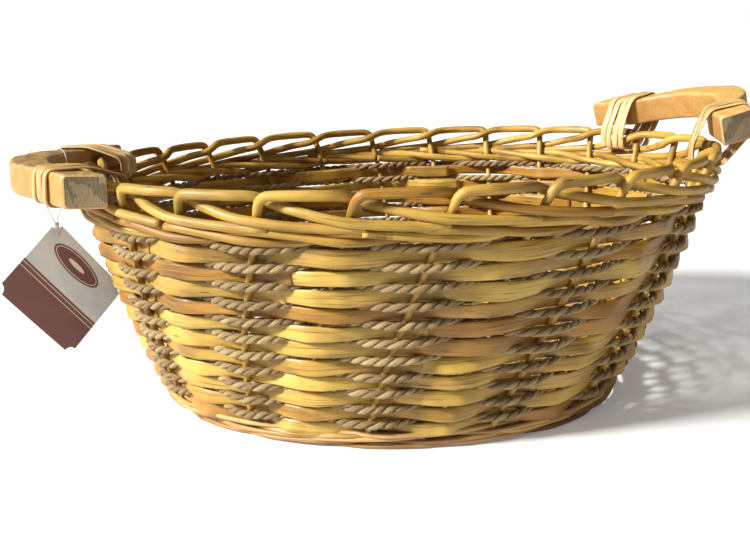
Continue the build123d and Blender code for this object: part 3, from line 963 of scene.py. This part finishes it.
@dataclass(frozen=True)
class Base:
    """The oval base: crossed sticks, ribs fanned out from them, and rods woven round."""

    slath_a: float = 0.088
    slath_b: float = 0.020
    cross_sticks: int = 9
    cross_span: float = 0.08
    cross_reach: float = 0.026
    stick_radius: float = 0.0030
    long_reach: float = 0.097
    long_wave: float = 0.020
    long_radius: float = 0.0026
    long_pitch: float = 0.0062
    long_lift: float = 0.0023
    rib_radius: float = 0.0021
    weaver_radius: float = 0.0017
    rings: int = 30
    lift: float = 0.0031
    mid_z: float = 0.0049
    seed: int = 131

    def turned(self, x: np.ndarray, y: np.ndarray, z: np.ndarray) -> np.ndarray:
        """Points of the base's own axes, turned to lie along the base's long axis."""
        turn, (shift_x, shift_y) = WALL.base_turn, WALL.base_shift
        return np.stack([x * cos(turn) - y * sin(turn) + shift_x,
                         x * sin(turn) + y * cos(turn) + shift_y, z], axis=-1)

    def spot(self, share: np.ndarray, station: np.ndarray, z: np.ndarray) -> np.ndarray:
        """Points between the crossed sticks, share 0, and the stakes' feet, share 1."""
        angle = 2 * pi * station / WALL.stake_count + WALL.stake_turn - WALL.stake_twist * WALL.lashed_level
        inner = self.turned(self.slath_a * np.cos(angle), self.slath_b * np.sin(angle), z)
        outer = WALL.place(np.full_like(z, self.mid_z), station, -0.0052)
        outer[..., 2] = z
        return inner + (outer - inner) * np.asarray(share)[..., None]

    def make_sticks(self, material: bpy.types.Material) -> None:
        """Builds the crossed sticks in two pieces."""
        rng = np.random.default_rng(self.seed)
        across = RodMesh()
        for x in np.linspace(-self.cross_span, self.cross_span, self.cross_sticks):
            y = np.linspace(-self.cross_reach, self.cross_reach, 15)
            path = self.turned(np.full_like(y, x), y, np.full_like(y, self.mid_z))
            across.sweep(path, upward(path), ring_section(self.stick_radius, 10), rng.uniform(0, 1), x * 40)
        for station in range(WALL.stake_count):
            share = np.linspace(-0.04, 0.98, 24)
            z = self.mid_z + wander(rng, share, 0.0002, 0.6)
            path = self.spot(share, np.full_like(share, station + 0.5), z)
            across.sweep(path, upward(path), ring_section(self.rib_radius, 8), rng.uniform(0, 1),
                         station * 0.3)
        hand_over(across.build("base_cross_rods", material), "basket", "willow", "base_cross_sticks")
        along = RodMesh()
        for lane in range(-2, 3):
            x = np.linspace(-self.long_reach, self.long_reach, 160)
            over = self.long_lift * np.cos(pi * (x / self.long_wave + lane))
            side_step = lane * self.long_pitch + wander(rng, x, 0.0003, 0.08)
            path = self.turned(x, side_step, self.mid_z + over)
            along.sweep(path, upward(path), ring_section(self.long_radius, 8), rng.uniform(0, 1), lane * 0.3)
        hand_over(along.build("base_long_rods", material), "basket", "willow", "base_long_sticks")

    def make(self, material: bpy.types.Material) -> None:
        """Builds the sticks and the woven rods."""
        self.make_sticks(material)
        for half, node in enumerate(("base_mat_lower", "base_mat_upper")):
            mesh = RodMesh()
            rng = np.random.default_rng(self.seed + 7 + half)
            for ring in range(half, self.rings, 2):
                station = np.linspace(0, 26, 26 * 10 + 1)[:-1]
                share = 0.03 + 0.95 * ring / (self.rings - 1) + wander(rng, station, 0.003, 26.0 / 3)
                z = self.mid_z + self.lift * np.cos(pi * (station - 0.5 + ring))
                path = self.spot(share, station, z)
                mesh.sweep(path, upward(path), ring_section(self.weaver_radius, 7), rng.uniform(0, 1),
                           rng.uniform(0, 9), closed=True)
            hand_over(mesh.build(f"{node}_rods", material), "basket", "willow", node)


class Side(Enum):
    """The two ends of the basket, with the way out along X."""

    LEFT = -1
    RIGHT = 1

    @property
    def label(self) -> str:
        """The name that this end's pieces carry."""
        return self.name.lower()


@dataclass(frozen=True)
class BoardHandle:
    """A bow handle cut from thick board: an arch between two straight tabs on the border."""

    side: Side
    tilt: float
    arch_foot: float
    tab_slope: float
    drop: float
    reach: float = 0.043
    half_span: float = 0.104
    width: float = 0.027
    thickness: float = 0.022
    tab_from: float = 0.060
    tab_width: float = 0.028
    tab_set_in: float = 0.036
    rim_half: float = 0.250
    rim_half_width: float = 0.2125
    rim_height: float = 0.190
    clearance: float = 0.0004
    corner: float = 0.0028
    end_chamfer: float = 0.0016
    seed: int = 151

    def edges(self, y: np.ndarray) -> tuple[np.ndarray, np.ndarray]:
        """Inner and outer edge of the board at y, as distances out from the border."""
        half = np.abs(y)
        back = (half - self.tab_from) * self.tab_slope
        found = []
        for foot, crown in ((self.arch_foot, self.reach - self.width),
                            (self.arch_foot + self.tab_width, self.reach)):
            rise = crown - foot
            radius = (self.tab_from ** 2 + rise ** 2) / (2 * rise)
            arch = crown - radius + np.sqrt(np.maximum(radius ** 2 - half ** 2, 0.0))
            found.append(np.where(half > self.tab_from, foot - back, arch))
        return found[0], found[1]

    def place(self, u: np.ndarray, y: np.ndarray, w: np.ndarray) -> np.ndarray:
        """Points u out and w up in the board's tilted plane, at y across the basket."""
        sign = self.side.value
        lean, stand = sin(self.tilt), cos(self.tilt)
        x = sign * (self.rim_half + u * stand - w * lean)
        foot = self.rim_height + self.clearance + self.tab_set_in * lean - self.drop
        z = foot + u * lean + w * stand
        return np.stack(np.broadcast_arrays(x, y, z), axis=-1)

    def outline(self, inner: float, outer: float, shrink: float) -> np.ndarray:
        """A rounded section from inner to outer, drawn in by shrink."""
        radius = max(self.corner - shrink * 0.5, 0.001)
        low_u, high_u = inner + shrink + radius, outer - shrink - radius
        low_w, high_w = shrink + radius, self.thickness - shrink - radius
        centres = ((high_u, high_w), (low_u, high_w), (low_u, low_w), (high_u, low_w))
        points = []
        for quarter, (u, w) in enumerate(centres):
            for step in range(5):
                turn = (quarter + step / 4) * pi / 2
                points.append((u + radius * cos(turn), w + radius * sin(turn)))
            ahead = centres[(quarter + 1) % 4]
            turn = (quarter + 1) * pi / 2
            for share in (0.25, 0.5, 0.75):
                points.append((u + (ahead[0] - u) * share + radius * cos(turn),
                               w + (ahead[1] - w) * share + radius * sin(turn)))
        return np.array(points)

    def make(self, material: bpy.types.Material) -> None:
        """Builds the board."""
        rng = np.random.default_rng(self.seed + self.side.value)
        flat = self.half_span - self.end_chamfer
        ys = np.concatenate([[-self.half_span, -flat - 0.0008], np.linspace(-flat, flat, 141),
                             [flat + 0.0008, self.half_span]])
        shrinks = np.concatenate([[0.0014, 0.0005], np.zeros(141), [0.0005, 0.0014]])
        inner, outer = self.edges(ys)
        sway = wander(rng, ys, 0.0005, 0.09)
        swell = wander(rng, ys, 0.0003, 0.05)
        mesh = RodMesh()
        rings = np.stack([self.outline(i + s, o + s, k) for i, o, s, k in zip(inner, outer, sway, shrinks)])
        rings[..., 1] += swell[:, None] * (rings[..., 1] > self.thickness / 2)
        count, sides = rings.shape[:2]
        points = self.place(rings[..., 0], ys[:, None], rings[..., 1])
        lie = np.stack([np.broadcast_to(ys[:, None], (count, sides)), rings[..., 0], rings[..., 1]], axis=-1)
        mesh.points.append(points.reshape(-1, 3))
        mesh.lie.append(lie.reshape(-1, 3))
        mesh.tone.append(np.full(count * sides, 0.5))
        last = (count - 1) * sides
        caps = [list(range(sides))[::-1], list(range(last, last + sides))]
        order = [0, 3, 2, 1]
        if self.side is Side.RIGHT:
            caps = [cap[::-1] for cap in caps]
            order = [1, 2, 3, 0]
        quads = tube_faces(count, sides)[:, order].tolist()
        mesh.faces = quads + caps
        mesh.cut = [0.0] * len(quads) + [1.0] * len(caps)
        name = f"handle_{self.side.label}"
        hand_over(mesh.build(f"{name}_board", material), "basket", "handle_wood", name)


@dataclass(frozen=True)
class Lashing:
    """Flat cane wound round a handle's tab and the border, as one long winding."""

    handle: BoardHandle
    end: int
    centre: float = 0.072
    turns: int = 4
    cane_width: float = 0.0056
    cane_thickness: float = 0.0014
    pitch: float = 0.0060
    border_low: float = 0.1751
    border_depth: float = 0.0189
    seed: int = 171

    def corners(self, y: float) -> np.ndarray:
        """Corners of one turn that lies square to the tab and crosses its middle at y.

        Args:
            y: where the turn crosses the middle of the tab.

        Returns:
            Rows of out along X, y and height, in order round the turn.
        """
        handle = self.handle
        middle = float(sum(handle.edges(np.array(y)))) / 2
        skew = self.end * handle.tab_slope

        def beside(u: float) -> float:
            """The turn's y at a distance u out from the border."""
            return y + skew * (u - middle)

        edges = [middle - handle.tab_width / 2, middle + handle.tab_width / 2]
        for _ in range(3):
            edges = [float(handle.edges(np.array(beside(u)))[i]) for i, u in enumerate(edges)]
        inner, outer = edges
        rim = handle.rim_half * (1 - (y / handle.rim_half_width) ** 2) ** 0.5
        border_in = rim - self.border_depth
        sign = handle.side.value

        def board(u: float, w: float) -> tuple[float, float, float]:
            """A corner of the board."""
            spot = handle.place(np.array(u), np.array(beside(u)), np.array(w))
            return sign * spot[0], spot[1], spot[2]

        low = min(self.border_low, board(inner, 0.0)[2])
        ring = [(border_in, beside(border_in - handle.rim_half), low),
                (rim, beside(rim - handle.rim_half), low),
                board(outer, 0.0), board(outer, handle.thickness), board(inner, handle.thickness),
                (border_in, beside(border_in - handle.rim_half), handle.rim_height)]
        return np.array(ring)

    def make(self, material: bpy.types.Material) -> None:
        """Builds the winding."""
        rng = np.random.default_rng(self.seed + self.handle.side.value + 5 * self.end)
        per_turn = 90
        rows = []
        for step in range(self.turns * per_turn + 1):
            turn, share = divmod(step / per_turn, 1.0)
            shift = turn + np.clip((share - 0.45) / 0.45, 0, 1)
            loop = self.corners(self.end * (self.centre + (shift - self.turns / 2) * self.pitch))
            away = loop - loop.mean(axis=0)
            away[:, 1] = 0.0
            grown = loop + unit(away) * (self.handle.clearance + self.cane_thickness)
            closed = np.vstack([grown, grown[:1]])
            marks = lengths_along(closed)
            rows.append([np.interp(share * marks[-1], marks, closed[:, i]) for i in range(3)])
        flat = np.array(rows)
        kernel = np.ones(7) / 7
        for axis in range(3):
            padded = np.pad(flat[:, axis], 3, mode="edge")
            flat[:, axis] = np.convolve(padded, kernel, mode="valid")
        outs = flat - flat.mean(axis=0)
        outs[:, 1] = self.end * self.handle.tab_slope * outs[:, 0]
        along = lengths_along(flat)
        flat[:, 1] += wander(rng, along, 0.0006, 0.11)
        flat += unit(outs) * (0.0005 * (1 + np.sin(along * 60 + self.end)))[:, None]
        path = flat * np.array([self.handle.side.value, 1.0, 1.0])
        outs = outs * np.array([self.handle.side.value, 1.0, 1.0])
        width = self.cane_width / 2 * (1 + wander(rng, along, 0.05, 0.1))
        shape = np.array([(-0.5, -1.0), (-0.5, 0.0), (-0.5, 1.0), (0.0, 1.04), (0.38, 0.82), (0.5, 0.4),
                          (0.54, 0.0), (0.5, -0.4), (0.38, -0.82), (0.0, -1.04)])[::-1]
        sections = np.stack([np.broadcast_to(shape[:, 0] * self.cane_thickness, (len(path), len(shape))),
                             width[:, None] * shape[None, :, 1]], axis=2)
        mesh = RodMesh()
        mesh.sweep(path, outs, sections, rng.uniform(0.4, 0.9), 0.0)
        place = "front" if self.end < 0 else "back"
        name = f"lashing_{self.handle.side.label}_{place}"
        hand_over(mesh.build(f"{name}_cane", material), "basket", "cane", name)


@dataclass(frozen=True)
class SwingTag:
    """A card tag hung by a corner hole from a thread loop round the left handle."""

    hole: tuple[float, float, float] = (-0.270734, 0.038, 0.135169)
    turn: float = radians(35)
    width: float = 0.084
    height: float = 0.070
    thickness: float = 0.0006
    notch: float = 0.006
    inset: float = 0.0075
    hole_radius: float = 0.0016
    loop_drop: float = 0.042
    loop_lean: float = atan2(0.038, 0.073)
    thread: float = 0.0010
    loop_length: float = 0.1466
    half_route: tuple[tuple[float, float], ...] = (
        (0.0010, -0.0324), (0.0149, -0.0014), (0.0163, 0.0117), (0.0154, 0.0244), (0.00497, 0.0254))
    bow: float = 0.0012

    def thread_loop(self, material: bpy.types.Material) -> bpy.types.Object:
        """Builds the loop, from the lock up round the board and back."""
        lean = self.loop_lean
        across = Vector((-cos(lean), sin(lean), 0.0))
        centre = Vector(self.hole) + Vector((0.0, 0.0, self.loop_drop))
        route = [(-x, z) for x, z in self.half_route] + list(self.half_route[::-1])
        curve = bpy.data.curves.new("tag_thread", "CURVE")
        curve.dimensions = "3D"
        curve.bevel_depth = self.thread / 2
        curve.bevel_resolution = 4
        curve.resolution_u = 16
        curve.use_fill_caps = True
        spline = curve.splines.new("NURBS")
        spline.points.add(len(route) - 1)
        for point, (x, z) in zip(spline.points, route):
            point.co = (*(centre + across * x + Vector((0.0, 0.0, z))), 1.0)
        spline.order_u = 3
        spline.use_endpoint_u = True
        curve.materials.append(material)
        piece = bpy.data.objects.new("tag_thread", curve)
        bpy.context.scene.collection.objects.link(piece)
        return hand_over(piece, "basket", "thread", "tag_loop")

    def outline(self) -> list[tuple[float, float]]:
        """The card's edge, with a quarter round cut from each corner."""
        half_w, half_h = self.width / 2, self.height / 2
        points = []
        for sx, sy, first in ((1, 1, 1.5), (-1, 1, 0.0), (-1, -1, 0.5), (1, -1, 1.0)):
            for step in range(7):
                turn = (first - step / 12) * pi
                points.append((sx * half_w + self.notch * cos(turn), sy * half_h + self.notch * sin(turn)))
        return points

    def card(self, material: bpy.types.Material) -> None:
        """Builds the card as a grid of short steps between its edge and its hole, slightly bowed."""
        right = Vector((cos(self.turn), sin(self.turn), 0.0))
        normal = Vector((sin(self.turn), -cos(self.turn), 0.0))
        hang = atan2(self.width / 2 - self.inset, self.height / 2 - self.inset)
        card_x = right * cos(hang) - Vector((0, 0, 1)) * sin(hang)
        card_y = normal.cross(card_x)
        middle = np.array((self.width / 2 - self.inset, self.inset - self.height / 2))
        edge = np.array(self.outline())
        dense = []
        for here, after in zip(edge, np.roll(edge, -1, axis=0)):
            pieces = max(1, int(np.linalg.norm(after - here) / 0.004))
            dense.extend(here + (after - here) * i / pieces for i in range(pieces))
        rim = np.array(dense)
        hole = -middle
        angle = np.arctan2(rim[:, 1] - hole[1], rim[:, 0] - hole[0])
        lip = hole + self.hole_radius * np.stack([np.cos(angle), np.sin(angle)], axis=1)
        rows = [lip + (rim - lip) * share for share in np.linspace(0, 1, 15) ** 1.3]
        points, lie = [], []
        count = len(rim)
        for face in (1, -1):
            for row in rows:
                free = (np.hypot(*(row - hole).T) / 0.05).clip(0, 1)
                bow = self.bow * (1 - (row[:, 0] / (self.width / 2)) ** 2) * free
                for (x, y), lift in zip(row, bow):
                    spot = Vector(self.hole) + card_x * (x + middle[0]) + card_y * (y + middle[1])
                    points.append(spot + normal * (face * self.thickness / 2 - lift))
                    lie.append((x, y, face * self.thickness))
        back = len(rows) * count
        edge_row = back - count
        faces = tube_faces(len(rows), count).tolist()
        faces += tube_faces(len(rows), count, back)[:, ::-1].tolist()
        for j in range(count):
            k = (j + 1) % count
            faces.append([edge_row + j, back + edge_row + j, back + edge_row + k, edge_row + k])
            faces.append([k, back + k, back + j, j])
        mesh = RodMesh()
        mesh.points.append(np.array(points))
        mesh.lie.append(np.array(lie))
        mesh.tone.append(np.full(len(points), 0.5))
        mesh.faces = faces
        mesh.cut = [1.0] * len(faces)
        hand_over(mesh.build("hanging_card", material), "tag", "card", "swing_tag")

    def lock(self, material: bpy.types.Material) -> bpy.types.Object:
        """Builds the small lock that holds the loop's ends and pins the card."""
        right = Vector((cos(self.turn), sin(self.turn), 0.0))
        normal = Vector((sin(self.turn), -cos(self.turn), 0.0))
        up = Vector((0.0, 0.0, 1.0))
        mesh = RodMesh()
        head = np.array([Vector(self.hole) + up * z for z in (0.0081, 0.0085, 0.0092, 0.0096)])
        sizes = np.array([0.8, 1.0, 1.0, 0.7])
        round_box = np.array([(0.0015, 0.0010), (0.0012, 0.0022), (-0.0012, 0.0022), (-0.0015, 0.0010),
                              (-0.0015, -0.0010), (-0.0012, -0.0022), (0.0012, -0.0022), (0.0015, -0.0010)])
        mesh.sweep(head, np.tile(normal, (4, 1)), round_box[None] * sizes[:, None, None], 0.9)
        for face in (1, -1):
            zs = np.linspace(-0.0021, 0.0086, 12)
            plate = np.array([Vector(self.hole) + up * z + normal * face * 0.0010 for z in zs])
            width = np.interp(zs, [-0.0021, -0.0012, 0.002, 0.0086], [0.5, 1.0, 1.0, 0.9])
            leaf = np.array([(0.0004, 0.0019), (-0.0004, 0.0019), (-0.0004, -0.0019), (0.0004, -0.0019)])
            shape = np.repeat(leaf[None], len(zs), axis=0)
            shape[:, :, 1] *= width[:, None]
            mesh.sweep(plate, np.tile(normal * face, (len(zs), 1)), shape, 0.9)
        pin = np.array([Vector(self.hole) + normal * d for d in (-0.0012, 0.0, 0.0012)])
        mesh.sweep(pin, np.tile(right, (3, 1)), ring_section(0.0010, 10), 0.9)
        return hand_over(mesh.build("loop_clasp", material), "lock", "thread", "loop_lock")

    def make(self, card: bpy.types.Material, thread: bpy.types.Material) -> None:
        loop = self.thread_loop(thread)
        lock = self.lock(thread)
        self.card(card)


@dataclass(frozen=True)
class Lamp:
    """A far, even light that falls on the basket and the floor alike.

    Softness is how wide it looks from the basket, azimuth the way to it from the front towards
    the right, and elevation how high it stands, all in degrees. Strength is in watts on a
    square metre.
    """

    name: str
    softness: float
    strength: float
    azimuth: float
    elevation: float
    colour: tuple[float, float, float] = (1.0, 0.985, 0.955)

    def add(self) -> None:
        """Adds the lamp."""
        data = bpy.data.lights.new(self.name, "SUN")
        data.angle = radians(self.softness)
        data.energy = self.strength
        data.color = self.colour
        turn, rise = radians(self.azimuth), radians(self.elevation)
        back = Vector((sin(turn) * cos(rise), -cos(turn) * cos(rise), sin(rise)))
        piece = bpy.data.objects.new(self.name, data)
        piece.location = back * 3.0
        piece.rotation_euler = back.to_track_quat("Z", "Y").to_euler()
        bpy.context.scene.collection.objects.link(piece)


@dataclass(frozen=True)
class Studio:
    """A pale floor, strong light from the left, a soft one from above, and the camera."""

    azimuth: float = radians(-12.2)
    elevation: float = radians(14.1)
    roll: float = radians(-1.86)
    distance: float = 0.7356
    focal_share: float = 1.199
    aim_right: float = -0.0249
    aim_up: float = 0.0872
    lift: float = 0.003
    lamps: tuple[Lamp, ...] = (Lamp("key_light", 10.0, 6.8, -80.0, 30.0),
                               Lamp("top_light", 50.0, 0.6, -20.0, 70.0))
    air_light: float = 0.07
    seen_air_light: float = 0.93
    seen_floor_glow: float = 0.16

    def camera(self) -> None:
        """Sets the camera to look at the basket from the front, a little above and to the left."""
        a, e, r = self.azimuth, self.elevation, self.roll
        back = Vector((sin(a) * cos(e), -cos(a) * cos(e), sin(e)))
        right = Vector((cos(a), sin(a), 0.0))
        up = back.cross(right)
        across = right * cos(r) + up * sin(r)
        upward = up * cos(r) - right * sin(r)
        data = bpy.data.cameras.new("view")
        data.sensor_width = 36.0
        data.lens = self.focal_share * data.sensor_width
        data.shift_y = self.lift
        data.clip_start = 0.01
        camera = bpy.data.objects.new("view", data)
        spot = right * self.aim_right + Vector((0.0, 0.0, self.aim_up)) + back * self.distance
        camera.matrix_world = Matrix.Translation(spot) @ Matrix((across, upward, back)).transposed().to_4x4()
        bpy.context.scene.collection.objects.link(camera)
        bpy.context.scene.camera = camera

    def make(self) -> None:
        """Builds the floor, the light and the camera."""
        self.camera()
        for lamp in self.lamps:
            lamp.add()
        world = bpy.data.worlds.new("studio_air")
        world.use_nodes = True
        air = Desk(world.node_tree)
        backdrop = world.node_tree.nodes["Background"]
        backdrop.inputs["Color"].default_value = (1.0, 1.0, 1.0, 1.0)
        seen = air.add("LightPath").outputs["Is Camera Ray"]
        air.feed(backdrop.inputs["Strength"], air.sum_up(
            "MULTIPLY_ADD", seen, self.seen_air_light, self.air_light))
        bpy.context.scene.world = world
        material, desk, shader = new_material("pale_floor")
        spread = desk.noise(desk.add("TexCoord").outputs["Object"], 3.0, 2.0)
        desk.feed(shader.inputs["Base Color"], desk.blend(
            desk.remap(spread, 0.3, 0.7), tint(232, 232, 232), tint(238, 238, 238)))
        shader.inputs["Roughness"].default_value = 0.9
        shader.inputs["Emission Color"].default_value = (1.0, 1.0, 1.0, 1.0)
        seen = desk.add("LightPath").outputs["Is Camera Ray"]
        desk.feed(shader.inputs["Emission Strength"], desk.sum_up(
            "MULTIPLY", seen, self.seen_floor_glow))
        mesh = bpy.data.meshes.new("floor")
        mesh.from_pydata([(-8, -4, 0), (8, -4, 0), (8, 12, 0), (-8, 12, 0)], [], [(0, 1, 2, 3)])
        mesh.materials.append(material)
        floor = bpy.data.objects.new("floor", mesh)
        bpy.context.scene.collection.objects.link(floor)
        bpy.context.scene.view_settings.view_transform = "Standard"


def main() -> None:
    """Builds the basket, part by part, and then the studio round it."""
    Studio().make()
    willow = RodFinish().material()
    split = RodFinish(name="split_willow", pale=(212, 176, 80), golden=(168, 118, 36),
                      streak_length=0.05, streak_width=0.0016, knot_spacing=0.05, knot_size=0.11,
                      roughness=0.42, coat=0.2).material()
    foot = RodFinish(name="foot_willow", pale=(208, 168, 102), golden=(168, 124, 64),
                     brown=(112, 74, 36)).material()
    rope = RopeFinish().material()
    cane = RodFinish(name="cane", pale=(230, 198, 138), golden=(196, 148, 82), brown=(136, 88, 42),
                     streak_length=0.06, streak_width=0.0009, knot_spacing=0.12, knot_size=0.05,
                     roughness=0.36, coat=0.3).material()
    card = CardFinish().material()
    thread = ThreadFinish().material()
    SwingTag().make(card, thread)
    Stakes().make(willow)
    TopWale().make(willow)
    StripRows().make(split)
    RopeRows().make(rope)
    FootWale().make(foot)
    Base().make(foot)
    # The left board's tops carry a patchy grey-brown that is part weathering and part painted shade; the
    # right board's tops do not.
    boards = {
        Side.LEFT: BoardFinish(name="handle_wood_left", weathering_and_shade=1.0).material(),
        Side.RIGHT: BoardFinish(name="handle_wood_right").material(),
    }
    for handle in (BoardHandle(Side.LEFT, radians(3), -0.0086, 0.5, 0.0162),
                   BoardHandle(Side.RIGHT, radians(13), -0.019, 0.38, 0.0)):
        handle.make(boards[handle.side])
        for end in (-1, 1):
            Lashing(handle, end).make(cane)


if __name__ == "__main__":
    logging.basicConfig(level=logging.INFO)
    main()
